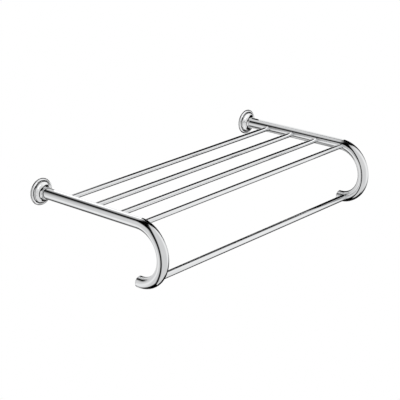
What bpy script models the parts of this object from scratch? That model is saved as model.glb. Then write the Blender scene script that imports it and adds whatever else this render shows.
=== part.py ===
"""Towel rack with shelf, chrome-plated brass, for a bathroom wall.

The wall is the plane y = 0 and the rack stands out from it along -Y. X runs along the wall and
+Z is up. The origin lies on the wall, midway between the two arms, at the height of their axes.
Depths and heights of turned pieces are measured out from the wall.
"""

import math

import bmesh
import bpy
from mathutils import Matrix, Vector

# Arms: a tube that runs straight out of the wall and then bends down and back as a hook
ARM_SPACING = 0.600
ARM_DIAMETER = 0.022
ARM_WALL = 0.0015
ARM_STRAIGHT = 0.259
BEND_RADIUS = 0.0565
BEND_ANGLE = math.radians(184)

# Shelf bars, counted from the wall
SHELF_BAR_COUNT = 4
SHELF_BAR_DIAMETER = 0.010
SHELF_BAR_WALL = 0.001
SHELF_BAR_FROM_WALL = 0.070
SHELF_BAR_PITCH = 0.065

# Towel bar, across the foot of the hooks
TOWEL_BAR_DIAMETER = 0.0125
TOWEL_BAR_WALL = 0.001
TOWEL_BAR_ANGLE = math.radians(163.75)

# How far each bar goes into an arm, measured from the arm's widest point
BAR_SEAT_DEPTH = 0.006

# Rosette: base ring with a rounded edge, a groove, and a bell that sweeps in to a neck round the arm
ROSETTE_DIAMETER = 0.0525
ROSETTE_HEIGHT = 0.0163
ROSETTE_WALL = 0.0012
RING_HEIGHT = 0.0044
RING_LEDGE = 0.0041
RING_REAR_EDGE = 0.0011
GROOVE_WIDTH = 0.0008
GROOVE_DEPTH = 0.0008
BELL_FOOT = 0.0006
BELL_SHOULDER_RADIUS = 0.0032
BELL_SHOULDER_TURN = math.radians(58)
NECK_WALL = 0.001
NECK_LAND = 0.0006
NECK_BORE_LENGTH = 0.0038

# Rubber ring inside the rosette, round the arm
RUBBER_SECTION = 0.0020

# Wall plate: a disc with two countersunk holes for the wall screws
PLATE_THICKNESS = 0.003
PLATE_CHAMFER = 0.0005
PLATE_MARGIN = 0.0006
PLATE_RIM = 0.001
WALL_SCREW_HOLE = 0.0046
WALL_SCREW_SINK = 0.0076

# Boss that carries the arm, and the countersunk screw that holds it to the plate
SOCKET_LENGTH = 0.025
SOCKET_CHAMFER = 0.0010
SOCKET_BORE_SPARE = 0.002
SOCKET_SCREW_DIAMETER = 0.005
SOCKET_SCREW_REACH = 0.014
SOCKET_SCREW_HEAD = 0.0086
SOCKET_SCREW_RIM = 0.0004
SOCKET_SCREW_SUNK = 0.0003
SOCKET_SCREW_HEX = 0.0030
SOCKET_SCREW_HEX_DEPTH = 0.0014

# Set screw that locks the arm on its boss from below
GRUB_DIAMETER = 0.005
GRUB_LENGTH = 0.0045
GRUB_SUNK = 0.0003
GRUB_FROM_SOCKET_END = 0.0063
GRUB_HEX = 0.0025
GRUB_HEX_DEPTH = 0.0022
GRUB_POINT = 0.0008

# Cap that closes the hook's end
CAP_THICKNESS = 0.0016
CAP_EDGE = 0.0006
CAP_PLUG_LENGTH = 0.004
CAP_PLUG_CLEARANCE = 0.0005

# Clearance between a piece and what it seats in or on, and how far a cutter overruns a face
CLEARANCE = 0.0003
OVERRUN = 0.002

# Corners closer than this are welded into one
WELD_DISTANCE = 0.00001

# Facets
TUBE_BEVEL_RESOLUTION = 10
BORE_BEVEL_RESOLUTION = 6
BEND_STEPS = 22
BAR_STEPS = 20
ROSETTE_STEPS = 40
TURNED_STEPS = 28
SMALL_STEPS = 16
RING_ARC_POINTS = 4
SHOULDER_POINTS = 4
SWEEP_POINTS = 5
INNER_SWEEP_POINTS = 3
RUBBER_POINTS = 6
EDGE_POINTS = 3
SMOOTH_ANGLE = math.radians(35)

# Places that follow from the sizes above
ARM_RADIUS = ARM_DIAMETER / 2
BORE_RADIUS = ARM_RADIUS - ARM_WALL
SHELF_BAR_RADIUS = SHELF_BAR_DIAMETER / 2
TOWEL_BAR_RADIUS = TOWEL_BAR_DIAMETER / 2
ROSETTE_BORE_RADIUS = ARM_RADIUS + CLEARANCE
BELL_FOOT_RADIUS = ROSETTE_DIAMETER / 2 - RING_LEDGE - GROOVE_WIDTH
BELL_START = RING_HEIGHT + BELL_FOOT
PLATE_RADIUS = BELL_FOOT_RADIUS - ROSETTE_WALL - PLATE_MARGIN
WALL_SCREW_RADIUS = PLATE_RADIUS - PLATE_RIM - WALL_SCREW_SINK / 2
SOCKET_RADIUS = BORE_RADIUS - CLEARANCE
SOCKET_START = PLATE_THICKNESS + CLEARANCE
SOCKET_END = SOCKET_START + SOCKET_LENGTH
SCREW_BORE_RADIUS = SOCKET_SCREW_DIAMETER / 2 + CLEARANCE
GRUB_FROM_WALL = SOCKET_END - GRUB_FROM_SOCKET_END
SIDES = {"left": -1, "right": 1}

# Directions
OUT_OF_WALL = Vector((0, -1, 0))
UP = Vector((0, 0, 1))
ALONG_WALL = Vector((1, 0, 0))


def clear_scene():
    for obj in list(bpy.data.objects):
        bpy.data.objects.remove(obj, do_unlink=True)


def new_collection(name):
    collection = bpy.data.collections.new(name)
    bpy.context.scene.collection.children.link(collection)
    return collection


def material(name, color, roughness, metallic):
    made = bpy.data.materials.new(name)
    made.use_nodes = True
    shader = made.node_tree.nodes["Principled BSDF"]
    shader.inputs["Base Color"].default_value = (*color, 1)
    shader.inputs["Roughness"].default_value = roughness
    shader.inputs["Metallic"].default_value = metallic
    return made


def smooth(obj):
    obj.data.shade_smooth()
    obj.data.set_sharp_from_angle(angle=SMOOTH_ANGLE)


def axis_matrix(point, direction):
    """Places a shape made along +Z at point, with its +Z along direction."""
    turn = UP.rotation_difference(direction).to_matrix().to_4x4()
    return Matrix.Translation(point) @ turn


def from_wall(side, depth, height=0.0):
    """Point on the arm's axis, or above it, at a depth in front of the wall."""
    return Vector((side * ARM_SPACING / 2, -depth, height))


def bend_point(side, angle):
    """Point on the arm's axis, angle round the bend."""
    depth = ARM_STRAIGHT + BEND_RADIUS * math.sin(angle)
    return from_wall(side, depth, BEND_RADIUS * (math.cos(angle) - 1))


def bend_direction(angle):
    return Vector((0, -math.cos(angle), -math.sin(angle)))


def tube_end_angle():
    """The bend stops short of its full angle by the cap that closes it."""
    return BEND_ANGLE - (CAP_THICKNESS + CLEARANCE) / BEND_RADIUS


def arc_points(center, radius_x, radius_y, start, end, count):
    """Points on an elliptical arc in the profile plane, ends included."""
    return [
        (
            center[0] + radius_x * math.cos(start + (end - start) * i / (count - 1)),
            center[1] + radius_y * math.sin(start + (end - start) * i / (count - 1)),
        )
        for i in range(count)
    ]


def tangent_arc(start, heading, end, count):
    """Arc that leaves start at heading and runs to end, start left out.

    The heading is measured from straight out of the wall, towards the axis.
    """
    inward = start[0] - end[0]
    outward = end[1] - start[1]
    chord = math.hypot(inward, outward)
    half_turn = heading - math.atan2(inward, outward)
    points = []
    for i in range(1, count + 1):
        share = i / count
        if half_turn:
            reach = chord * math.sin(half_turn * share) / math.sin(half_turn)
        else:
            reach = chord * share
        course = heading - half_turn * share
        points.append((start[0] - reach * math.sin(course), start[1] + reach * math.cos(course)))
    return points


def place(obj, collection, surface=None):
    collection.objects.link(obj)
    if surface:
        obj.data.materials.append(surface)
    return obj


def turned(name, profile, steps, matrix, collection, surface=None):
    """A closed outline of (radius, height) points turned about its own Z axis.

    The outline runs down the outer side, from top to bottom, and back up the inner side.
    """
    mesh = bpy.data.meshes.new(name)
    work = bmesh.new()
    corners = [work.verts.new((radius, 0, height)) for radius, height in profile]
    for i, corner in enumerate(corners):
        following = (i + 1) % len(corners)
        if profile[i][0] or profile[following][0]:
            work.edges.new((corner, corners[following]))
    work.to_mesh(mesh)
    work.free()
    obj = place(bpy.data.objects.new(name, mesh), collection, surface)
    obj.matrix_world = matrix
    screw = obj.modifiers.new("Turn", "SCREW")
    screw.axis = "Z"
    screw.steps = screw.render_steps = steps
    screw.use_merge_vertices = True
    screw.merge_threshold = WELD_DISTANCE
    screw.use_smooth_shade = True
    return obj


def swept(name, points, radius, resolution):
    """A round solid along points, as a mesh with welded caps."""
    curve = bpy.data.curves.new(name, "CURVE")
    curve.dimensions = "3D"
    curve.bevel_depth = radius
    curve.bevel_resolution = resolution
    curve.use_fill_caps = True
    spline = curve.splines.new("POLY")
    spline.points.add(len(points) - 1)
    for target, point in zip(spline.points, points):
        target.co = (*point, 1)
    guide = bpy.data.objects.new(name, curve)
    bpy.context.scene.collection.objects.link(guide)
    graph = bpy.context.evaluated_depsgraph_get()
    mesh = bpy.data.meshes.new_from_object(guide.evaluated_get(graph))
    matrix = guide.matrix_world.copy()
    bpy.data.objects.remove(guide, do_unlink=True)
    work = bmesh.new()
    work.from_mesh(mesh)
    bmesh.ops.remove_doubles(work, verts=work.verts, dist=WELD_DISTANCE)
    bmesh.ops.recalc_face_normals(work, faces=work.faces)
    work.to_mesh(mesh)
    work.free()
    obj = bpy.data.objects.new(name, mesh)
    obj.matrix_world = matrix
    return obj


def as_cutter(obj):
    place(obj, CUTTERS)
    obj.hide_render = True
    obj.display_type = "WIRE"
    return obj


def cone_cutter(name, start_radius, end_radius, start, end, steps):
    """A cylinder or truncated cone from start to end."""
    mesh = bpy.data.meshes.new(name)
    work = bmesh.new()
    bmesh.ops.create_cone(
        work,
        cap_ends=True,
        segments=steps,
        radius1=start_radius,
        radius2=end_radius,
        depth=(end - start).length,
    )
    work.to_mesh(mesh)
    work.free()
    obj = bpy.data.objects.new(name, mesh)
    obj.matrix_world = axis_matrix((start + end) / 2, (end - start).normalized())
    return as_cutter(obj)


def round_cutter(name, radius, start, end, steps):
    return cone_cutter(name, radius, radius, start, end, steps)


def hex_cutter(name, across_flats, start, end):
    return round_cutter(name, across_flats / 2 / math.cos(math.pi / 6), start, end, 6)


def cut(obj, *cutters):
    for cutter in cutters:
        boolean = obj.modifiers.new(cutter.name, "BOOLEAN")
        boolean.operation = "DIFFERENCE"
        boolean.solver = "EXACT"
        boolean.object = cutter


def shelf_bar_center(index):
    return Vector((0, -SHELF_BAR_FROM_WALL - index * SHELF_BAR_PITCH, 0))


def towel_bar_center():
    foot = bend_point(SIDES["right"], TOWEL_BAR_ANGLE)
    return Vector((0, foot.y, foot.z))


def make_bar(name, center, radius, wall):
    """A hollow bar whose ends stand inside the two arms."""
    half = ARM_SPACING / 2 - ARM_RADIUS + BAR_SEAT_DEPTH
    profile = [(radius, half), (radius, -half), (radius - wall, -half), (radius - wall, half)]
    return turned(name, profile, BAR_STEPS, axis_matrix(center, ALONG_WALL), PARTS, CHROME)


def bar_seat_cutter(name, side, center, radius):
    """The drill that opens an arm's inner wall for one bar."""
    axis = Vector((side * ARM_SPACING / 2, center.y, center.z))
    mouth = axis - ALONG_WALL * side * (ARM_RADIUS + OVERRUN)
    return round_cutter(name, radius + CLEARANCE, axis, mouth, BAR_STEPS)


def arm_path(side, overrun):
    """Points of the arm's axis from the wall end to the hook's end, whose last run is straight."""
    last = tube_end_angle()
    points = [from_wall(side, SOCKET_START - overrun)]
    points += [bend_point(side, last * i / BEND_STEPS) for i in range(BEND_STEPS)]
    points.append(bend_point(side, last) - bend_direction(last) * CAP_PLUG_LENGTH)
    points.append(bend_point(side, last) + bend_direction(last) * overrun)
    return points


def make_arm(label, side):
    """Bent tube, open at both ends, with a seat drilled for each bar and a hole for its set screw."""
    name = f"arm_{label}"
    arm = swept(name, arm_path(side, 0), ARM_RADIUS, TUBE_BEVEL_RESOLUTION)
    place(arm, PARTS, CHROME)
    bore = swept(f"{name}_bore", arm_path(side, OVERRUN), BORE_RADIUS, BORE_BEVEL_RESOLUTION)
    cutters = [as_cutter(bore)]
    for index in range(SHELF_BAR_COUNT):
        seat = f"{name}_seat_{index + 1}"
        cutters.append(bar_seat_cutter(seat, side, shelf_bar_center(index), SHELF_BAR_RADIUS))
    cutters.append(bar_seat_cutter(f"{name}_towel_seat", side, towel_bar_center(), TOWEL_BAR_RADIUS))
    axis = from_wall(side, GRUB_FROM_WALL)
    mouth = axis - UP * (ARM_RADIUS + OVERRUN)
    radius = GRUB_DIAMETER / 2 + CLEARANCE
    cutters.append(round_cutter(f"{name}_grub_hole", radius, axis, mouth, SMALL_STEPS))
    cut(arm, *cutters)
    smooth(arm)


def rosette_outer_profile():
    """From the neck's front down to the wall: neck, bell, groove, ring with a rounded edge."""
    base = ROSETTE_DIAMETER / 2
    ledge = base - RING_LEDGE
    neck = ROSETTE_BORE_RADIUS + NECK_WALL
    shoulder = arc_points(
        (BELL_FOOT_RADIUS - BELL_SHOULDER_RADIUS, BELL_START),
        BELL_SHOULDER_RADIUS,
        BELL_SHOULDER_RADIUS,
        0,
        BELL_SHOULDER_TURN,
        SHOULDER_POINTS,
    )
    neck_foot = (neck, ROSETTE_HEIGHT - NECK_LAND)
    sweep = tangent_arc(shoulder[-1], BELL_SHOULDER_TURN, neck_foot, SWEEP_POINTS)
    groove_floor = RING_HEIGHT - GROOVE_DEPTH
    front_edge = arc_points(
        (ledge, RING_REAR_EDGE),
        base - ledge,
        RING_HEIGHT - RING_REAR_EDGE,
        math.pi / 2,
        0,
        RING_ARC_POINTS,
    )
    rear_edge = arc_points(
        (base - RING_REAR_EDGE, RING_REAR_EDGE),
        RING_REAR_EDGE,
        RING_REAR_EDGE,
        0,
        -math.pi / 2,
        EDGE_POINTS,
    )
    points = [(neck, ROSETTE_HEIGHT)] + sweep[::-1] + shoulder[::-1]
    points += [(BELL_FOOT_RADIUS, groove_floor), (ledge, groove_floor)]
    return points + front_edge + rear_edge[1:]


def rosette_inner_profile():
    """From the wall back up to the neck's front, one wall inside the outer outline."""
    base = ROSETTE_DIAMETER / 2 - RING_REAR_EDGE - ROSETTE_WALL
    roof = RING_HEIGHT - GROOVE_DEPTH - ROSETTE_WALL
    neck_back = ROSETTE_HEIGHT - NECK_BORE_LENGTH
    cavity = ROSETTE_BORE_RADIUS + RUBBER_SECTION + CLEARANCE
    shoulder = arc_points(
        (BELL_FOOT_RADIUS - BELL_SHOULDER_RADIUS, BELL_START),
        BELL_SHOULDER_RADIUS - ROSETTE_WALL,
        BELL_SHOULDER_RADIUS - ROSETTE_WALL,
        0,
        BELL_SHOULDER_TURN,
        EDGE_POINTS,
    )
    sweep = tangent_arc(shoulder[-1], BELL_SHOULDER_TURN, (cavity, neck_back), INNER_SWEEP_POINTS)
    points = [(base, 0), (base, roof), (BELL_FOOT_RADIUS - ROSETTE_WALL, roof)]
    points += shoulder + sweep
    return points + [(ROSETTE_BORE_RADIUS, neck_back), (ROSETTE_BORE_RADIUS, ROSETTE_HEIGHT)]


def make_rosette(label, side):
    """Turned cover, hollow behind, that slides on the arm and hides the wall plate."""
    matrix = axis_matrix(from_wall(side, 0), OUT_OF_WALL)
    profile = rosette_outer_profile() + rosette_inner_profile()
    turned(f"rosette_{label}", profile, ROSETTE_STEPS, matrix, PARTS, CHROME)


def make_rosette_ring(label, side):
    """Rubber ring that grips the arm behind the neck and holds the rosette against the wall."""
    radius = RUBBER_SECTION / 2
    depth = ROSETTE_HEIGHT - NECK_BORE_LENGTH - CLEARANCE - radius
    center = (ROSETTE_BORE_RADIUS + radius, 0)
    profile = arc_points(center, radius, radius, math.pi, -math.pi, RUBBER_POINTS + 1)[:-1]
    matrix = axis_matrix(from_wall(side, depth), OUT_OF_WALL)
    turned(f"rosette_ring_{label}", profile, TURNED_STEPS, matrix, PARTS, RUBBER)


def make_wall_plate(label, side):
    """Disc that two countersunk wall screws hold, with a rear countersink for the boss's screw."""
    name = f"wall_plate_{label}"
    sink = SOCKET_SCREW_HEAD / 2 + CLEARANCE
    rim = SOCKET_SCREW_SUNK + SOCKET_SCREW_RIM
    profile = [
        (PLATE_RADIUS - PLATE_CHAMFER, PLATE_THICKNESS),
        (PLATE_RADIUS, PLATE_THICKNESS - PLATE_CHAMFER),
        (PLATE_RADIUS, 0),
        (sink, 0),
        (sink, rim),
        (SCREW_BORE_RADIUS, rim + sink - SCREW_BORE_RADIUS),
        (SCREW_BORE_RADIUS, PLATE_THICKNESS),
    ]
    matrix = axis_matrix(from_wall(side, 0), OUT_OF_WALL)
    plate = turned(name, profile, TURNED_STEPS, matrix, PARTS, STEEL)
    cutters = []
    for place_name, height in (("upper", WALL_SCREW_RADIUS), ("lower", -WALL_SCREW_RADIUS)):
        rear = from_wall(side, -OVERRUN, height)
        front = from_wall(side, PLATE_THICKNESS + OVERRUN, height)
        hole_name = f"{name}_{place_name}_hole"
        cutters.append(round_cutter(hole_name, WALL_SCREW_HOLE / 2, rear, front, SMALL_STEPS))
        tip = from_wall(side, PLATE_THICKNESS - WALL_SCREW_SINK / 2, height)
        sink_name = f"{name}_{place_name}_sink"
        mouth = WALL_SCREW_SINK / 2 + OVERRUN
        cutters.append(cone_cutter(sink_name, 0, mouth, tip, front, SMALL_STEPS))
    cut(plate, *cutters)


def make_arm_socket(label, side):
    """Turned boss, bored from behind for its screw and from below for the set screw."""
    name = f"arm_socket_{label}"
    bore_end = SOCKET_SCREW_REACH + SOCKET_BORE_SPARE
    profile = [
        (0, SOCKET_LENGTH),
        (SOCKET_RADIUS - SOCKET_CHAMFER, SOCKET_LENGTH),
        (SOCKET_RADIUS, SOCKET_LENGTH - SOCKET_CHAMFER),
        (SOCKET_RADIUS, 0),
        (SCREW_BORE_RADIUS, 0),
        (SCREW_BORE_RADIUS, bore_end),
        (0, bore_end),
    ]
    matrix = axis_matrix(from_wall(side, SOCKET_START), OUT_OF_WALL)
    socket = turned(name, profile, TURNED_STEPS, matrix, PARTS, BRASS)
    tip = ARM_RADIUS - GRUB_SUNK - GRUB_LENGTH
    floor = from_wall(side, GRUB_FROM_WALL, CLEARANCE - tip)
    mouth = from_wall(side, GRUB_FROM_WALL, -ARM_RADIUS)
    radius = GRUB_DIAMETER / 2 + CLEARANCE
    cut(socket, round_cutter(f"{name}_grub_hole", radius, floor, mouth, SMALL_STEPS))


def make_socket_screw(label, side):
    """Countersunk screw with a hexagon recess, put in from behind the plate."""
    name = f"socket_screw_{label}"
    head = SOCKET_SCREW_HEAD / 2
    shank = SOCKET_SCREW_DIAMETER / 2
    cone_end = SOCKET_SCREW_RIM + head - shank
    length = SOCKET_START - SOCKET_SCREW_SUNK + SOCKET_SCREW_REACH
    profile = [
        (0, length),
        (shank, length),
        (shank, cone_end),
        (head, SOCKET_SCREW_RIM),
        (head, 0),
        (0, 0),
    ]
    matrix = axis_matrix(from_wall(side, SOCKET_SCREW_SUNK), OUT_OF_WALL)
    screw = turned(name, profile, SMALL_STEPS, matrix, PARTS, STEEL)
    recess_end = from_wall(side, SOCKET_SCREW_SUNK + SOCKET_SCREW_HEX_DEPTH)
    cut(screw, hex_cutter(f"{name}_hex", SOCKET_SCREW_HEX, from_wall(side, -OVERRUN), recess_end))


def make_grub_screw(label, side):
    """Set screw with a cone point, from the arm's underside into the boss."""
    name = f"grub_screw_{label}"
    radius = GRUB_DIAMETER / 2
    profile = [
        (0, GRUB_LENGTH),
        (radius - GRUB_POINT, GRUB_LENGTH),
        (radius, GRUB_LENGTH - GRUB_POINT),
        (radius, 0),
        (0, 0),
    ]
    face = GRUB_SUNK - ARM_RADIUS
    matrix = axis_matrix(from_wall(side, GRUB_FROM_WALL, face), UP)
    screw = turned(name, profile, SMALL_STEPS, matrix, PARTS, STEEL)
    recess_start = from_wall(side, GRUB_FROM_WALL, face - OVERRUN)
    recess_end = from_wall(side, GRUB_FROM_WALL, face + GRUB_HEX_DEPTH)
    cut(screw, hex_cutter(f"{name}_hex", GRUB_HEX, recess_start, recess_end))


def make_end_cap(label, side):
    """Turned cap with a plug, pressed into the hook's end."""
    last = tube_end_angle()
    plug = BORE_RADIUS - CAP_PLUG_CLEARANCE
    rim = arc_points(
        (ARM_RADIUS - CAP_EDGE, CAP_THICKNESS - CAP_EDGE),
        CAP_EDGE,
        CAP_EDGE,
        math.pi / 2,
        0,
        EDGE_POINTS,
    )
    profile = [(0, CAP_THICKNESS)] + rim
    profile += [(ARM_RADIUS, 0), (plug, 0), (plug, -CAP_PLUG_LENGTH), (0, -CAP_PLUG_LENGTH)]
    seat = bend_point(side, last) + bend_direction(last) * CLEARANCE
    turned(f"end_cap_{label}", profile, TURNED_STEPS, axis_matrix(seat, bend_direction(last)), PARTS, CHROME)


clear_scene()
PARTS = new_collection("towel_rack_with_shelf")
CUTTERS = new_collection("cutters")
CHROME = material("chrome", (0.86, 0.87, 0.88), 0.06, 1)
STEEL = material("steel", (0.55, 0.56, 0.58), 0.35, 1)
BRASS = material("brass", (0.72, 0.57, 0.30), 0.30, 1)
RUBBER = material("rubber", (0.03, 0.03, 0.03), 0.70, 0)

for label, side in SIDES.items():
    make_arm(label, side)
    make_rosette(label, side)
    make_rosette_ring(label, side)
    make_wall_plate(label, side)
    make_arm_socket(label, side)
    make_socket_screw(label, side)
    make_grub_screw(label, side)
    make_end_cap(label, side)
for index in range(SHELF_BAR_COUNT):
    make_bar(f"shelf_bar_{index + 1}", shelf_bar_center(index), SHELF_BAR_RADIUS, SHELF_BAR_WALL)
make_bar("towel_bar", towel_bar_center(), TOWEL_BAR_RADIUS, TOWEL_BAR_WALL)
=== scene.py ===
"""Chrome towel rack with shelf: two hooked tube arms on round rosettes, four shelf bars, a towel bar."""
import math

import bmesh
import bpy
from mathutils import Matrix, Vector


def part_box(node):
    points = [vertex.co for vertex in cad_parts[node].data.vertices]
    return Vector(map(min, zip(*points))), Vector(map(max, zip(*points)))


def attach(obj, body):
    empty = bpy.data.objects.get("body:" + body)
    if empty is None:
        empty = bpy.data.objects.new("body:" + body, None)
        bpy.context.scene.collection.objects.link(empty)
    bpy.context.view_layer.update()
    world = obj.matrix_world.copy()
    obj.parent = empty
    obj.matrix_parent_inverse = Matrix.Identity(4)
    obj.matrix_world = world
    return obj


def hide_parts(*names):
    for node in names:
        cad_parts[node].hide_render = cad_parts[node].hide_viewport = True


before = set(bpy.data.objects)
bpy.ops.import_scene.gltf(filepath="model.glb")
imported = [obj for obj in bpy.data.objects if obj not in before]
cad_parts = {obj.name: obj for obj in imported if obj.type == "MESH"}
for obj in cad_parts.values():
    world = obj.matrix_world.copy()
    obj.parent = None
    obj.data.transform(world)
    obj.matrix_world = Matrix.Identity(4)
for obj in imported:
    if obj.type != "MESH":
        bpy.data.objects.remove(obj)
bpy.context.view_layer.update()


# Wall plates
# Steel discs that carry the rack, turned, drilled and countersunk for two wall screws each, and zinc
# plated. They lie flat on the wall under the rosettes and show only from behind.
SIDES = {"left": -1, "right": 1}
OUT = Vector((0, -1, 0))
ALONG = Vector((1, 0, 0))
UP = Vector((0, 0, 1))
PLATE_EDGE = 0.0004
PLATE_BORE = 0.0028
PLATE_SINK = 0.0046
PLATE_SINK_RIM = 0.0007
WALL_SCREW_BORE = 0.0023
WALL_SCREW_SINK = 0.0038
WALL_SCREW_RIM = 0.001
PLATE_SEGMENTS = 128
FILLET_STEPS = 6
SHARP_ANGLE = math.radians(32)
PATTERN_LOW = 0.3
PATTERN_HIGH = 0.7
ZINC_DARK = (0.44, 0.46, 0.49)
ZINC_LIGHT = (0.60, 0.61, 0.62)
ZINC_MARK_DEPTH = 0.000004


def middle(node):
    """The middle of a CAD node's box."""
    low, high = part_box(node)
    return (low + high) / 2


def span(node, axis):
    """How long a CAD node is along x, y or z."""
    low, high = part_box(node)
    return getattr(high - low, axis)


def filleted(corners):
    """An outline of (radius, height) points from corners of (radius, height, fillet)."""
    points = []
    for i, (radius, height, fillet) in enumerate(corners):
        here = Vector((radius, height))
        if not fillet:
            points.append(here)
            continue
        before = (Vector(corners[i - 1][:2]) - here).normalized()
        after = (Vector(corners[(i + 1) % len(corners)][:2]) - here).normalized()
        half = before.angle(after) / 2
        center = here + (before + after).normalized() * fillet / math.sin(half)
        start = here + before * fillet / math.tan(half) - center
        end = here + after * fillet / math.tan(half) - center
        turn = start.angle_signed(end)
        for step in range(FILLET_STEPS + 1):
            points.append(center + Matrix.Rotation(-turn * step / FILLET_STEPS, 2) @ start)
    return points


def shown(name, work, matrix):
    """The shaped mesh as an object of the scene, smooth between its sharp edges."""
    mesh = bpy.data.meshes.new(name)
    bmesh.ops.recalc_face_normals(work, faces=work.faces)
    work.to_mesh(mesh)
    work.free()
    mesh.shade_smooth()
    mesh.set_sharp_from_angle(angle=SHARP_ANGLE)
    obj = bpy.data.objects.new(name, mesh)
    bpy.context.scene.collection.objects.link(obj)
    obj.matrix_world = matrix
    return obj


def on_axis(point, direction):
    """Places a shape made along +Z at point, with its +Z along direction."""
    return Matrix.Translation(point) @ UP.rotation_difference(direction).to_matrix().to_4x4()


def turned(name, outline, point, direction, segments):
    """A closed outline of (radius, height) points turned round an axis."""
    work = bmesh.new()
    rings = []
    for radius, height in outline:
        if not radius:
            rings.append([work.verts.new((0, 0, height))] * segments)
            continue
        turns = [math.tau * i / segments for i in range(segments)]
        rings.append([work.verts.new((radius * math.cos(a), radius * math.sin(a), height)) for a in turns])
    for ring, following in zip(rings, rings[1:] + rings[:1]):
        for i in range(segments):
            corners = (ring[i - 1], following[i - 1], following[i], ring[i])
            corners = list(dict.fromkeys(corners))
            if len(corners) > 2:
                work.faces.new(corners)
    return shown(name, work, on_axis(point, direction))


def drilled(obj, *cutters):
    """Cuts the cutters out of a piece for good, and removes them."""
    for cutter in cutters:
        boolean = obj.modifiers.new(cutter.name, "BOOLEAN")
        boolean.operation = "DIFFERENCE"
        boolean.solver = "EXACT"
        boolean.object = cutter
    graph = bpy.context.evaluated_depsgraph_get()
    mesh = bpy.data.meshes.new_from_object(obj.evaluated_get(graph))
    obj.modifiers.clear()
    obj.data = mesh
    mesh.set_sharp_from_angle(angle=SHARP_ANGLE)
    for cutter in cutters:
        bpy.data.objects.remove(cutter, do_unlink=True)


def stands_for(obj, surface, node):
    """Gives a finished piece its surface and puts it in the place of its CAD node."""
    obj.data.materials.clear()
    obj.data.materials.append(surface)
    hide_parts(node)
    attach(obj, "root")


def finish_nodes(name):
    """A new surface, with its nodes, links, shader and object coordinates."""
    made = bpy.data.materials.new(name)
    made.use_nodes = True
    nodes = made.node_tree.nodes
    return made, nodes, made.node_tree.links, nodes["Principled BSDF"], nodes.new("ShaderNodeTexCoord")


def clouds(nodes, links, place, scale, detail):
    """Soft irregular patches, scale of them in a metre."""
    noise = nodes.new("ShaderNodeTexNoise")
    noise.inputs["Scale"].default_value = scale
    noise.inputs["Detail"].default_value = detail
    links.new(place.outputs["Object"], noise.inputs["Vector"])
    return noise.outputs["Fac"]


def between(nodes, links, share, low, high):
    """A value that runs from low to high with a pattern's share."""
    scaled = nodes.new("ShaderNodeMapRange")
    scaled.inputs["From Min"].default_value = PATTERN_LOW
    scaled.inputs["From Max"].default_value = PATTERN_HIGH
    scaled.inputs["To Min"].default_value = low
    scaled.inputs["To Max"].default_value = high
    links.new(share, scaled.inputs["Value"])
    return scaled.outputs["Result"]


def tinted(nodes, links, share, dark, light):
    """A colour that runs from dark to light with a pattern's share."""
    ramp = nodes.new("ShaderNodeValToRGB")
    ramp.color_ramp.elements[0].position = PATTERN_LOW
    ramp.color_ramp.elements[0].color = (*dark, 1)
    ramp.color_ramp.elements[1].position = PATTERN_HIGH
    ramp.color_ramp.elements[1].color = (*light, 1)
    links.new(share, ramp.inputs["Fac"])
    return ramp.outputs["Color"]


def embossed(nodes, links, share, height):
    """A relief of the given height in metres that follows a pattern's share."""
    bump = nodes.new("ShaderNodeBump")
    bump.inputs["Distance"].default_value = height
    links.new(share, bump.inputs["Height"])
    return bump.outputs["Normal"]


def lathe_marks(nodes, links, place, scale, axis):
    """The fine rings that a turning tool leaves round an axis."""
    rings = nodes.new("ShaderNodeTexWave")
    rings.wave_type = "RINGS"
    rings.rings_direction = axis
    rings.inputs["Scale"].default_value = scale
    rings.inputs["Distortion"].default_value = 0.5
    links.new(place.outputs["Object"], rings.inputs["Vector"])
    return rings.outputs["Fac"]


def zinc_finish():
    """Zinc plating over turned steel: satin grey, a little cloudy, with faint lathe marks."""
    made, nodes, links, shader, place = finish_nodes("zinc_plating")
    shader.inputs["Metallic"].default_value = 1
    patches = clouds(nodes, links, place, 240, 4)
    links.new(tinted(nodes, links, patches, ZINC_DARK, ZINC_LIGHT), shader.inputs["Base Color"])
    links.new(between(nodes, links, patches, 0.26, 0.42), shader.inputs["Roughness"])
    marks = lathe_marks(nodes, links, place, 900, "Z")
    links.new(embossed(nodes, links, marks, ZINC_MARK_DEPTH), shader.inputs["Normal"])
    return made


ZINC = zinc_finish()
for label in SIDES:
    node = f"wall_plate_{label}"
    radius = span(node, "x") / 2
    thickness = span(node, "y")
    wall_point = Vector((middle(node).x, 0, 0))
    outline = filleted([
        (radius, thickness, PLATE_EDGE),
        (radius, 0, PLATE_EDGE / 2),
        (PLATE_SINK, 0, 0),
        (PLATE_SINK, PLATE_SINK_RIM, 0),
        (PLATE_BORE, PLATE_SINK_RIM + PLATE_SINK - PLATE_BORE, 0),
        (PLATE_BORE, thickness, 0),
    ])
    plate = turned(f"plate_{label}", outline, wall_point, OUT, PLATE_SEGMENTS)
    for side in SIDES.values():
        spot = wall_point + UP * side * (radius - WALL_SCREW_RIM - WALL_SCREW_SINK)
        drill = [
            (0, -thickness),
            (WALL_SCREW_BORE, -thickness),
            (WALL_SCREW_BORE, thickness - WALL_SCREW_SINK + WALL_SCREW_BORE),
            (WALL_SCREW_SINK * 2, thickness + WALL_SCREW_SINK),
            (0, thickness + WALL_SCREW_SINK),
        ]
        drilled(plate, turned("drill", drill, spot, OUT, PLATE_SEGMENTS // 2))
    stands_for(plate, ZINC, node)


# Boss screws
# Countersunk machine screws with a hexagon recess, zinc plated. Each goes through its wall plate from
# behind into the boss, with its head just below the plate's rear face.
HEAD_EDGE = 0.0002
HEAD_RIM = 0.0004
SHANK_RADIUS = 0.0025
RECESS_FLATS = 0.0030
RECESS_DEPTH = 0.0014
HEX_SIDES = 6
SCREW_SEGMENTS = 72


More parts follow.
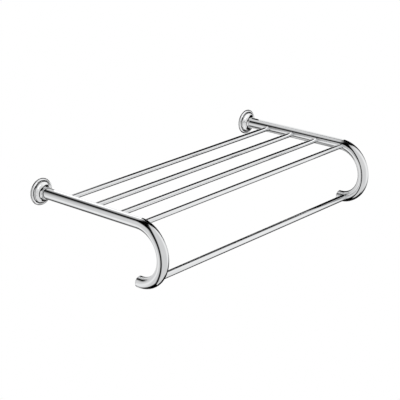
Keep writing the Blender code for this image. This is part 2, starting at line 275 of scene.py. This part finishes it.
def hex_recess(flats, depth, point, direction):
    """A six-sided cutter that opens a screw's head to a depth."""
    radius = flats / 2 / math.cos(math.pi / HEX_SIDES)
    outline = [(0, depth), (radius, depth), (radius, -depth), (0, -depth)]
    return turned("recess", outline, point, direction, HEX_SIDES)


for label in SIDES:
    node = f"socket_screw_{label}"
    radius = span(node, "x") / 2
    length = span(node, "y")
    rear_face = Vector((middle(node).x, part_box(node)[1].y, 0))
    outline = filleted([
        (0, 0, 0),
        (radius, 0, HEAD_EDGE),
        (radius, HEAD_RIM, 0),
        (SHANK_RADIUS, HEAD_RIM + radius - SHANK_RADIUS, 0),
        (SHANK_RADIUS, length, HEAD_EDGE),
        (0, length, 0),
    ])
    screw = turned(f"boss_screw_{label}", outline, rear_face, OUT, SCREW_SEGMENTS)
    drilled(screw, hex_recess(RECESS_FLATS, RECESS_DEPTH, rear_face, OUT))
    stands_for(screw, ZINC, node)


# Bosses
# Turned brass plugs, left bare, that the screws hold to the plates. The arms slip over them, so
# nothing of them shows on the finished rack.
BRASS_DARK = (0.56, 0.41, 0.19)
BRASS_LIGHT = (0.78, 0.62, 0.34)
BRASS_MARK_DEPTH = 0.000006


def brass_finish():
    """Bare turned brass with a little tarnish and the lathe's rings."""
    made, nodes, links, shader, place = finish_nodes("turned_brass")
    shader.inputs["Metallic"].default_value = 1
    tarnish = clouds(nodes, links, place, 180, 3)
    links.new(tinted(nodes, links, tarnish, BRASS_DARK, BRASS_LIGHT), shader.inputs["Base Color"])
    links.new(between(nodes, links, tarnish, 0.22, 0.36), shader.inputs["Roughness"])
    marks = lathe_marks(nodes, links, place, 700, "Y")
    links.new(embossed(nodes, links, marks, BRASS_MARK_DEPTH), shader.inputs["Normal"])
    return made


BRASS = brass_finish()
for label in SIDES:
    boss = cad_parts[f"arm_socket_{label}"]
    boss.data.materials.clear()
    boss.data.materials.append(BRASS)


# Arms
# Brass tube bent on a mandrel, polished and chrome plated. Each arm runs straight out of the wall and
# turns down and back under itself as a hook, and is drilled for the bars on its inner side.
ARM_WALL = 0.0015
ARM_LIP = 0.00025
BEND_END = math.radians(184)
CAP_THICKNESS = 0.0016
CAP_SEAM = 0.0001
SEAT_PLAY = 0.00005
GRUB_HOLE = 0.00265
TUBE_SIDES = 96
BEND_RINGS = 120
STRAIGHT_RINGS = 30
BARS = ("shelf_bar_1", "shelf_bar_2", "shelf_bar_3", "shelf_bar_4", "towel_bar")
ARM_RADIUS = span("arm_left", "x") / 2
BEND_RADIUS = span("arm_left", "z") / 2 - ARM_RADIUS
ARM_START = -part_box("arm_left")[1].y
ARM_STRAIGHT = ARM_START + span("arm_left", "y") - ARM_RADIUS - BEND_RADIUS
TUBE_END = BEND_END - (CAP_THICKNESS + CAP_SEAM) / BEND_RADIUS
CHROME_DARK = (0.80, 0.81, 0.82)
CHROME_LIGHT = (0.84, 0.845, 0.85)
RIPPLE_HEIGHT = 0.00001


def chrome_finish():
    """Bright chrome over polished brass: a mirror with a trace of polishing haze and of ripple."""
    made, nodes, links, shader, place = finish_nodes("bright_chrome")
    shader.inputs["Metallic"].default_value = 1
    haze = clouds(nodes, links, place, 60, 3)
    links.new(tinted(nodes, links, haze, CHROME_DARK, CHROME_LIGHT), shader.inputs["Base Color"])
    links.new(between(nodes, links, haze, 0.03, 0.07), shader.inputs["Roughness"])
    ripple = clouds(nodes, links, place, 45, 0)
    links.new(embossed(nodes, links, ripple, RIPPLE_HEIGHT), shader.inputs["Normal"])
    return made


def arm_point(side, depth, height=0.0):
    """Point in an arm's upright middle plane, depth out from the wall and height over the axis."""
    return Vector((side * middle("arm_right").x, -depth, height))


def bend_point(side, angle):
    """Point on the arm's axis, angle round the bend."""
    depth = ARM_STRAIGHT + BEND_RADIUS * math.sin(angle)
    return arm_point(side, depth, BEND_RADIUS * (math.cos(angle) - 1))


def bend_course(angle):
    """The way the arm's axis runs, angle round the bend."""
    return Vector((0, -math.cos(angle), -math.sin(angle)))


def rounded_edge(point, inwards, course, radius):
    """Centre, course and radius of the rings that round a tube's outer edge, from its end to its side."""
    rings = []
    for step in range(FILLET_STEPS + 1):
        turn = math.pi / 2 * step / FILLET_STEPS
        center = point + inwards * ARM_LIP * (1 - math.cos(turn))
        rings.append((center, course, radius - ARM_LIP * (1 - math.sin(turn))))
    return rings


def bent_tube(name, stations, radius, bore):
    """A hollow tube through stations of (point, course), with rounded outer edges."""
    start, start_course = stations[0]
    end, end_course = stations[-1]
    outside = rounded_edge(start, start_course, start_course, radius)
    outside += [(point, course, radius) for point, course in stations[1:-1]]
    outside += rounded_edge(end, -end_course, end_course, radius)[::-1]
    inside = [(point, course, bore) for point, course in stations[::-1]]
    work = bmesh.new()
    rings = []
    for point, course, ring_radius in outside + inside:
        across = ALONG * ring_radius
        upright = ALONG.cross(course) * ring_radius
        turns = [math.tau * i / TUBE_SIDES for i in range(TUBE_SIDES)]
        rings.append([work.verts.new(point + across * math.cos(a) + upright * math.sin(a)) for a in turns])
    for ring, following in zip(rings, rings[1:] + rings[:1]):
        for i in range(TUBE_SIDES):
            work.faces.new((ring[i - 1], following[i - 1], following[i], ring[i]))
    return shown(name, work, Matrix.Identity(4))


def side_drill(radius, point, direction):
    """The drill that opens one side of an arm, from a point on its axis."""
    reach = ARM_RADIUS * 2
    return turned("drill", [(0, 0), (radius, 0), (radius, reach), (0, reach)], point, direction, TUBE_SIDES)


CHROME = chrome_finish()
for label, side in SIDES.items():
    stations = []
    for step in range(STRAIGHT_RINGS):
        depth = ARM_START + (ARM_STRAIGHT - ARM_START) * step / STRAIGHT_RINGS
        stations.append((arm_point(side, depth), OUT))
    for step in range(BEND_RINGS + 1):
        angle = TUBE_END * step / BEND_RINGS
        stations.append((bend_point(side, angle), bend_course(angle)))
    arm = bent_tube(f"hook_arm_{label}", stations, ARM_RADIUS, ARM_RADIUS - ARM_WALL)
    drills = []
    for bar in BARS:
        seat = arm_point(side, -middle(bar).y, middle(bar).z)
        drills.append(side_drill(span(bar, "z") / 2 + SEAT_PLAY, seat, ALONG * -side))
    drilled(arm, *drills)
    hole = arm_point(side, -middle(f"grub_screw_{label}").y)
    drilled(arm, side_drill(GRUB_HOLE, hole, -UP))
    stands_for(arm, CHROME, f"arm_{label}")


# Bars
# Straight chromed brass tubes. Four thin ones make the shelf and a thicker one at the foot of the
# hooks carries the towel. Their ends stand in the arms' drilled seats, where they are brazed.
BAR_WALL = 0.001
BAR_EDGE = 0.0002

for node in BARS:
    radius = span(node, "z") / 2
    length = span(node, "x")
    left_end = middle(node) - ALONG * length / 2
    outline = filleted([
        (radius, length, BAR_EDGE),
        (radius, 0, BAR_EDGE),
        (radius - BAR_WALL, 0, 0),
        (radius - BAR_WALL, length, 0),
    ])
    bar = turned(f"tube_{node}", outline, left_end, ALONG, TUBE_SIDES)
    stands_for(bar, CHROME, node)


# End caps
# Turned chromed discs with a plug, pressed into the hooks' ends. Only a hairline seam shows
# between a cap and its tube.
CAP_EDGE = 0.0006
CAP_PLUG_PLAY = 0.0003
CAP_PLUG_LENGTH = 0.004

for label, side in SIDES.items():
    plug = ARM_RADIUS - ARM_WALL - CAP_PLUG_PLAY
    outline = filleted([
        (0, CAP_THICKNESS, 0),
        (ARM_RADIUS, CAP_THICKNESS, CAP_EDGE),
        (ARM_RADIUS, 0, CAP_SEAM),
        (plug, 0, 0),
        (plug, -CAP_PLUG_LENGTH, CAP_EDGE),
        (0, -CAP_PLUG_LENGTH, 0),
    ])
    course = bend_course(TUBE_END)
    seat = bend_point(side, TUBE_END) + course * CAP_SEAM
    cap = turned(f"hook_cap_{label}", outline, seat, course, TUBE_SIDES)
    stands_for(cap, CHROME, f"end_cap_{label}")


# Rubber rings
# Black rubber rings inside the rosettes. They grip the arms behind the necks and keep the covers
# pushed against the wall.
RUBBER_SECTION = 0.0010
RUBBER_STEPS = 20
RUBBER_DARK = (0.018, 0.018, 0.019)
RUBBER_LIGHT = (0.05, 0.05, 0.052)


def rubber_finish():
    """Moulded black rubber: matt, with a faint bloom."""
    made, nodes, links, shader, place = finish_nodes("black_rubber")
    bloom = clouds(nodes, links, place, 700, 6)
    links.new(tinted(nodes, links, bloom, RUBBER_DARK, RUBBER_LIGHT), shader.inputs["Base Color"])
    links.new(between(nodes, links, bloom, 0.62, 0.82), shader.inputs["Roughness"])
    return made


RUBBER = rubber_finish()
for label in SIDES:
    node = f"rosette_ring_{label}"
    outer = span(node, "x") / 2
    outline = []
    for step in range(RUBBER_STEPS):
        turn = -math.tau * step / RUBBER_STEPS
        ring_radius = outer - RUBBER_SECTION + RUBBER_SECTION * math.cos(turn)
        outline.append((ring_radius, RUBBER_SECTION * math.sin(turn)))
    ring = turned(f"rubber_{label}", outline, middle(node), OUT, PLATE_SEGMENTS)
    stands_for(ring, RUBBER, node)


# Rosettes
# Covers turned from brass and chromed, hollow behind. Each has a base ring with a rounded edge, a
# fine groove and a thin-walled bell that sweeps in to a neck round the arm. It hides the wall plate,
# and the rubber ring sits behind its neck.
RING_HEIGHT = 0.0044
RING_FACE = 0.0037
RING_FRONT_EDGE = 0.0032
RING_REAR_EDGE = 0.0011
RING_INNER_EDGE = 0.0002
GROOVE_WIDTH = 0.0012
GROOVE_DEPTH = 0.001
BELL_FOOT = 0.0006
SHOULDER_RADIUS = 0.004
SHOULDER_TURN = math.radians(78)
ROSETTE_WALL = 0.0012
BELL_WALL = 0.0005
NECK_SEAT = 0.0013
NECK_PLAY = 0.0003
NECK_WALL = 0.001
NECK_LAND = 0.0006
NECK_LENGTH = 0.0037
NECK_EDGE = 0.0001
ARC_STEPS = 16
ROSETTE_SEGMENTS = 160
# painted light: the covers take a brighter copy of the arms' chrome, so that the rosettes read lighter
COVER_BRIGHTENED_DARK = (0.90, 0.905, 0.91)
COVER_BRIGHTENED_LIGHT = (0.94, 0.945, 0.95)
# painted shade: the near-black colour laid in the rosette's groove
GROOVE_PAINTED_SHADE = (0.06, 0.06, 0.065, 1)
GROOVE_ROUGHNESS = 0.5


def arc(center, radius, start, end):
    """Points on a round arc of a turned outline, ends included."""
    turns = [start + (end - start) * step / ARC_STEPS for step in range(ARC_STEPS + 1)]
    return [(center[0] + radius * math.cos(t), center[1] + radius * math.sin(t)) for t in turns]


def sweep(start, heading, end):
    """Arc that leaves start at a heading, taken from straight out towards the axis, and runs to end."""
    inward = start[0] - end[0]
    outward = end[1] - start[1]
    half_turn = heading - math.atan2(inward, outward)
    points = []
    for step in range(1, ARC_STEPS + 1):
        share = step / ARC_STEPS
        reach = math.hypot(inward, outward) * math.sin(half_turn * share) / math.sin(half_turn)
        course = heading - half_turn * share
        points.append((start[0] - reach * math.sin(course), start[1] + reach * math.cos(course)))
    return points


def rosette_finish(groove_low, groove_high):
    """The arms' chrome made brighter as painted light and a little softer, with painted shade: dull and
    dark in the groove.
    """
    made, nodes, links, shader, place = finish_nodes("rosette_chrome")
    shader.inputs["Metallic"].default_value = 1
    across = nodes.new("ShaderNodeVectorMath")
    across.operation = "MULTIPLY"
    across.inputs[1].default_value = (1, 1, 0)
    links.new(place.outputs["Object"], across.inputs[0])
    radius = nodes.new("ShaderNodeVectorMath")
    radius.operation = "LENGTH"
    links.new(across.outputs[0], radius.inputs[0])
    # painted shade: the groove's band of radii gets a near-black, dull colour
    groove = nodes.new("ShaderNodeMath")
    groove.operation = "COMPARE"
    groove.inputs[1].default_value = (groove_low + groove_high) / 2
    groove.inputs[2].default_value = (groove_high - groove_low) / 2
    links.new(radius.outputs["Value"], groove.inputs[0])
    haze = clouds(nodes, links, place, 90, 3)
    # painted light: the brightened chrome colour, under the groove's painted shade
    bright = tinted(nodes, links, haze, COVER_BRIGHTENED_DARK, COVER_BRIGHTENED_LIGHT)
    color = nodes.new("ShaderNodeMix")
    color.data_type = "RGBA"
    color.inputs["B"].default_value = GROOVE_PAINTED_SHADE
    links.new(groove.outputs[0], color.inputs["Factor"])
    links.new(bright, color.inputs["A"])
    links.new(color.outputs["Result"], shader.inputs["Base Color"])
    gloss = nodes.new("ShaderNodeMix")
    gloss.inputs["B"].default_value = GROOVE_ROUGHNESS
    links.new(groove.outputs[0], gloss.inputs["Factor"])
    links.new(between(nodes, links, haze, 0.09, 0.14), gloss.inputs["A"])
    links.new(gloss.outputs["Result"], shader.inputs["Roughness"])
    return made


for label, side in SIDES.items():
    node = f"rosette_{label}"
    base = span(node, "x") / 2
    height = span(node, "y")
    ledge = base - RING_FACE
    foot = ledge - GROOVE_WIDTH
    bore = ARM_RADIUS + NECK_PLAY
    seat = height - NECK_LENGTH
    shoulder_center = (foot - SHOULDER_RADIUS, RING_HEIGHT + BELL_FOOT)
    shoulder = arc(shoulder_center, SHOULDER_RADIUS, 0, SHOULDER_TURN)
    outside = shoulder + sweep(shoulder[-1], SHOULDER_TURN, (bore + NECK_WALL, height - NECK_LAND))
    outline = [(bore, height - NECK_EDGE), (bore + NECK_EDGE, height)]
    outline += [(bore + NECK_WALL - NECK_EDGE, height), (bore + NECK_WALL, height - NECK_EDGE)]
    outline += outside[::-1]
    outline += [(foot, RING_HEIGHT - GROOVE_DEPTH), (ledge, RING_HEIGHT - GROOVE_DEPTH)]
    outline += [(ledge, RING_HEIGHT - RING_INNER_EDGE), (ledge + RING_INNER_EDGE, RING_HEIGHT)]
    outline += arc((base - RING_FRONT_EDGE, RING_HEIGHT - RING_FRONT_EDGE), RING_FRONT_EDGE, math.pi / 2, 0)
    outline += arc((base - RING_REAR_EDGE, RING_REAR_EDGE), RING_REAR_EDGE, 0, -math.pi / 2)
    cavity = base - RING_REAR_EDGE - ROSETTE_WALL
    roof = RING_HEIGHT - GROOVE_DEPTH - BELL_WALL
    hollow = arc(shoulder_center, SHOULDER_RADIUS - BELL_WALL, 0, SHOULDER_TURN)
    hollow += sweep(hollow[-1], SHOULDER_TURN, (bore + NECK_WALL - BELL_WALL, height - NECK_LAND))
    outline += [(cavity, 0), (cavity, roof), (foot - BELL_WALL, roof)]
    outline += [point for point in hollow if point[1] < seat - NECK_PLAY * 2]
    outline += [(bore + NECK_SEAT, seat), (bore, seat)]
    rosette = turned(f"cover_{label}", outline, arm_point(side, 0), OUT, ROSETTE_SEGMENTS)
    stands_for(rosette, rosette_finish(foot, ledge), node)


# Set screws
# Zinc plated screws with a hexagon socket and a cone point, driven up through the arms into the
# bosses. They lock the rack on its wall plates.
POINT = 0.0008
SET_SCREW_FLATS = 0.0025
SET_SCREW_SOCKET = 0.0022

for label, side in SIDES.items():
    node = f"grub_screw_{label}"
    radius = span(node, "y") / 2
    length = span(node, "z")
    face = arm_point(side, -middle(node).y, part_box(node)[0].z)
    outline = filleted([
        (0, length, 0),
        (radius - POINT, length, 0),
        (radius, length - POINT, 0),
        (radius, 0, HEAD_EDGE),
        (0, 0, 0),
    ])
    screw = turned(f"set_screw_{label}", outline, face, UP, SCREW_SEGMENTS)
    drilled(screw, hex_recess(SET_SCREW_FLATS, SET_SCREW_SOCKET, face, UP))
    stands_for(screw, ZINC, node)


# Studio
# A pale floor below, and round the rack a light tent that only gloss sees. Its cloth glows evenly but
# for soft-edged gaps, where the dark room shows and draws the black lines along the tubes.
FLOOR_LEVEL = -1.7
FLOOR_SIZE = 30
TENT_CENTER = Vector((0, -0.16, -0.05))
TENT_RADIUS = 1.6
TENT_SEGMENTS = 64
CLOTH_GLOW = 0.75
AIR_GLOW = 0.75
PAPER_DARK = (0.90, 0.90, 0.90)
PAPER_LIGHT = (0.93, 0.93, 0.93)
PAPER_ROUGHNESS = 0.9
SHADE_RADIUS = 0.031
SHADE_LIFT = 0.0005
SHADE_GLOW = 0.02
SHADE_SEGMENTS = 96


def lit_plainly(tree, glow, plain):
    """Shows the glow to camera, gloss and glass, and the plain shader to all other rays."""
    path = tree.nodes.new("ShaderNodeLightPath")
    clear = path.outputs["Is Camera Ray"]
    for ray in ("Is Glossy Ray", "Is Transmission Ray"):
        either = tree.nodes.new("ShaderNodeMath")
        either.operation = "MAXIMUM"
        tree.links.new(clear, either.inputs[0])
        tree.links.new(path.outputs[ray], either.inputs[1])
        clear = either.outputs[0]
    mix = tree.nodes.new("ShaderNodeMixShader")
    tree.links.new(clear, mix.inputs["Fac"])
    tree.links.new(plain.outputs[0], mix.inputs[1])
    tree.links.new(glow.outputs[0], mix.inputs[2])
    return mix.outputs[0]


def stage_object(name, work):
    """A mesh that belongs to the studio and not to the rack."""
    mesh = bpy.data.meshes.new(name)
    work.to_mesh(mesh)
    work.free()
    obj = bpy.data.objects.new(name, mesh)
    bpy.context.scene.collection.objects.link(obj)
    return obj


def gloss_only(obj):
    """Hides a studio piece from all but the mirror images in the chrome."""
    obj.visible_camera = False
    obj.visible_diffuse = False
    obj.visible_transmission = False
    obj.visible_shadow = False


world = bpy.data.worlds.new("studio_air")
bpy.context.scene.world = world
world.use_nodes = True
air = world.node_tree.nodes["Background"]
air.inputs["Color"].default_value = (1, 1, 1, 1)
air.inputs["Strength"].default_value = AIR_GLOW
white = world.node_tree.nodes.new("ShaderNodeBackground")
white.inputs["Color"].default_value = (1, 1, 1, 1)
output = world.node_tree.nodes["World Output"]
world.node_tree.links.new(lit_plainly(world.node_tree, white, air), output.inputs["Surface"])

work = bmesh.new()
bmesh.ops.create_grid(work, x_segments=1, y_segments=1, size=FLOOR_SIZE / 2)
floor = stage_object("floor", work)
floor.location.z = FLOOR_LEVEL
paper, nodes, links, shader, place = finish_nodes("floor_paper")
shader.inputs["Roughness"].default_value = PAPER_ROUGHNESS
grain = tinted(nodes, links, clouds(nodes, links, place, 3, 2), PAPER_DARK, PAPER_LIGHT)
links.new(grain, shader.inputs["Base Color"])
glow = nodes.new("ShaderNodeEmission")
links.new(lit_plainly(paper.node_tree, glow, shader), nodes["Material Output"].inputs["Surface"])
floor.data.materials.append(paper)

work = bmesh.new()
bmesh.ops.create_uvsphere(work, u_segments=TENT_SEGMENTS, v_segments=TENT_SEGMENTS // 2, radius=TENT_RADIUS)
tent = stage_object("light_tent", work)
tent.location = TENT_CENTER
gloss_only(tent)
cloth, nodes, links, shader, place = finish_nodes("tent_cloth")
cloth.cycles.emission_sampling = "NONE"


def computed(operation, *values):
    """A math node on links or numbers."""
    node = nodes.new("ShaderNodeMath")
    node.operation = operation
    for socket, value in zip(node.inputs, values):
        if isinstance(value, bpy.types.NodeSocket):
            links.new(value, socket)
        else:
            socket.default_value = value
    return node.outputs[0]


way = nodes.new("ShaderNodeVectorMath")
way.operation = "NORMALIZE"
links.new(place.outputs["Object"], way.inputs[0])
split = nodes.new("ShaderNodeSeparateXYZ")
links.new(way.outputs[0], split.inputs[0])
azimuth = computed("ARCTAN2", split.outputs["Y"], split.outputs["X"])
elevation = computed("ARCSINE", split.outputs["Z"])
cloth_light = CLOTH_GLOW


def inside(angle, low, high, softness):
    """A share that is 1 between two angles in degrees and falls to 0 over a soft edge."""
    middle_angle = math.radians(low + high) / 2
    half = math.radians(high - low) / 2
    edge = math.radians(softness) / 2
    away = computed("WRAP", computed("SUBTRACT", angle, middle_angle), math.pi, -math.pi)
    fade = nodes.new("ShaderNodeMapRange")
    fade.interpolation_type = "SMOOTHSTEP"
    fade.inputs["From Min"].default_value = half - edge
    fade.inputs["From Max"].default_value = half + edge
    fade.inputs["To Min"].default_value = 1
    fade.inputs["To Max"].default_value = 0
    links.new(computed("ABSOLUTE", away), fade.inputs["Value"])
    return fade.outputs["Result"]


def panel(light, azimuths, elevations, softness, glow):
    """Lays a panel of another glow over the cloth, by azimuth from +X towards +Y and elevation."""
    around = inside(azimuth, *azimuths, softness)
    share = computed("MULTIPLY", around, inside(elevation, *elevations, softness))
    step = computed("MULTIPLY", share, computed("SUBTRACT", glow, light))
    return computed("ADD", light, step)


# the tent's open top, over the back
cloth_light = panel(cloth_light, (-30, 210), (65, 100), 20, 0.0)
# the gap at the right end: the dark line along the top of every bar
cloth_light = panel(cloth_light, (-15, 45), (0, 70), 5, 0.0)
cloth_light = panel(cloth_light, (25, 60), (-25, 40), 5, 0.0)
# the dark floor at the right: the line along the bars' lower edge
cloth_light = panel(cloth_light, (-40, 50), (-70, -20), 20, 0.0)
# the gap at the left end: the outer line of the arms
cloth_light = panel(cloth_light, (180, 205), (-70, 65), 15, 0.0)
# the dark ceiling behind: the middle line of the arms and hooks
cloth_light = panel(cloth_light, (120, 190), (30, 75), 15, 0.0)
cloth_light = panel(cloth_light, (100, 135), (10, 50), 25, 0.0)
# the dark floor below: the hooks' undersides
cloth_light = panel(cloth_light, (-60, 200), (-100, -55), 10, 0.0)
# a rail at the foot of the back cloth: the inner line of the hooks
cloth_light = panel(cloth_light, (75, 130), (-50, -35), 5, 0.1)
# lamps behind the cloth at the front right and low at the back left
cloth_light = panel(cloth_light, (-65, -25), (-35, 65), 30, 1.0)
cloth_light = panel(cloth_light, (130, 150), (-45, -10), 15, 1.0)
glow = nodes.new("ShaderNodeEmission")
links.new(cloth_light, glow.inputs["Strength"])
links.new(glow.outputs[0], nodes["Material Output"].inputs["Surface"])
tent.data.materials.append(cloth)

# the shade of the dark wall close round each rosette, which the rosette's edge mirrors
shade_grey, nodes, links, shader, place = finish_nodes("wall_shade_grey")
shade_grey.cycles.emission_sampling = "NONE"
glow = nodes.new("ShaderNodeEmission")
glow.inputs["Strength"].default_value = SHADE_GLOW
links.new(glow.outputs[0], nodes["Material Output"].inputs["Surface"])
for label in SIDES:
    node = f"rosette_{label}"
    center = middle(node)
    work = bmesh.new()
    rings = []
    for radius in (span(node, "x") / 2, SHADE_RADIUS):
        ring = []
        for i in range(SHADE_SEGMENTS):
            turn = math.tau * i / SHADE_SEGMENTS
            x = center.x + radius * math.cos(turn)
            z = center.z + radius * math.sin(turn)
            ring.append(work.verts.new((x, SHADE_LIFT, z)))
        rings.append(ring)
    for i in range(SHADE_SEGMENTS):
        work.faces.new((rings[0][i - 1], rings[0][i], rings[1][i], rings[1][i - 1]))
    shade = stage_object(f"wall_shade_{label}", work)
    gloss_only(shade)
    shade.data.materials.append(shade_grey)


# Lamps
# One large soft lamp from the upper left and a weaker one from the right. A thin strip light leans
# over each arm, and shows only as the white upper edge that the arm's chrome mirrors.
LAMP_DISTANCE = 3.0
LAMP_SIZE = 1.8
STRIP_NEAR = -0.26
STRIP_FAR = -0.030
STRIP_TOP_ASIDE = 0.003
STRIP_TOP = 0.020
STRIP_GLOW = 3.0


def new_lamp(name, shape):
    """An area lamp of the scene, still at its default place."""
    light = bpy.data.lights.new(name, "AREA")
    light.shape = shape
    obj = bpy.data.objects.new(name, light)
    bpy.context.scene.collection.objects.link(obj)
    return obj


def soft_lamp(name, azimuth, elevation, power):
    """A round lamp that faces the rack from an azimuth and elevation in degrees."""
    obj = new_lamp(name, "DISK")
    obj.data.size = LAMP_SIZE
    obj.data.energy = power
    turn, rise = math.radians(azimuth), math.radians(elevation)
    way = Vector((math.cos(turn) * math.cos(rise), math.sin(turn) * math.cos(rise), math.sin(rise)))
    obj.location = TENT_CENTER + way * LAMP_DISTANCE
    obj.rotation_mode = "QUATERNION"
    obj.rotation_quaternion = (-way).to_track_quat("-Z", "Y")
    obj.visible_glossy = False


def strip_light(label, foot_aside, foot_height):
    """A strip along an arm's top edge that faces the arm, with its foot beside the arm's axis."""
    foot = Vector((foot_aside, 0, foot_height))
    top = Vector((STRIP_TOP_ASIDE, 0, STRIP_TOP))
    obj = new_lamp(f"strip_light_{label}", "RECTANGLE")
    obj.data.size = STRIP_FAR - STRIP_NEAR
    obj.data.size_y = (top - foot).length
    obj.data.energy = STRIP_GLOW * obj.data.size * obj.data.size_y
    rise = (top - foot).normalized()
    into_wall = -OUT
    turn = Matrix((into_wall, rise, into_wall.cross(rise))).transposed().to_4x4()
    center = (foot + top) / 2 + into_wall * (STRIP_NEAR + STRIP_FAR) / 2
    center.x += middle(f"arm_{label}").x
    obj.matrix_world = Matrix.Translation(center) @ turn
    gloss_only(obj)


soft_lamp("key_lamp", azimuth=-130, elevation=55, power=60)
soft_lamp("fill_lamp", azimuth=-30, elevation=35, power=25)
strip_light("left", foot_aside=0.0120, foot_height=0.0056)
strip_light("right", foot_aside=0.0145, foot_height=0.0)


# Camera
# A long lens that looks down from the front left, held level but for a hair, as the rack was
# photographed. Its place and length were fitted to the outlines in the picture.
CAMERA_POINT = Vector((-1.8593, -1.818745, 0.839107))
CAMERA_AZIMUTH = math.radians(-47.798)
CAMERA_ELEVATION = math.radians(19.899)
CAMERA_ROLL = math.radians(-0.704)
FOCAL_PIXELS = 1337.934
FRAME_PIXELS = 400
SENSOR_WIDTH = 36

camera = bpy.data.objects.new("camera", bpy.data.cameras.new("camera"))
bpy.context.scene.collection.objects.link(camera)
camera.data.sensor_width = SENSOR_WIDTH
camera.data.lens = FOCAL_PIXELS / FRAME_PIXELS * SENSOR_WIDTH
level = math.cos(CAMERA_ELEVATION)
back = Vector((
    math.sin(CAMERA_AZIMUTH) * level,
    -math.cos(CAMERA_AZIMUTH) * level,
    math.sin(CAMERA_ELEVATION),
))
turn = (-back).to_track_quat("-Z", "Y").to_matrix().to_4x4()
camera.matrix_world = Matrix.Translation(CAMERA_POINT) @ turn @ Matrix.Rotation(CAMERA_ROLL, 4, "Z")
bpy.context.scene.camera = camera
bpy.context.scene.view_settings.view_transform = "Standard"
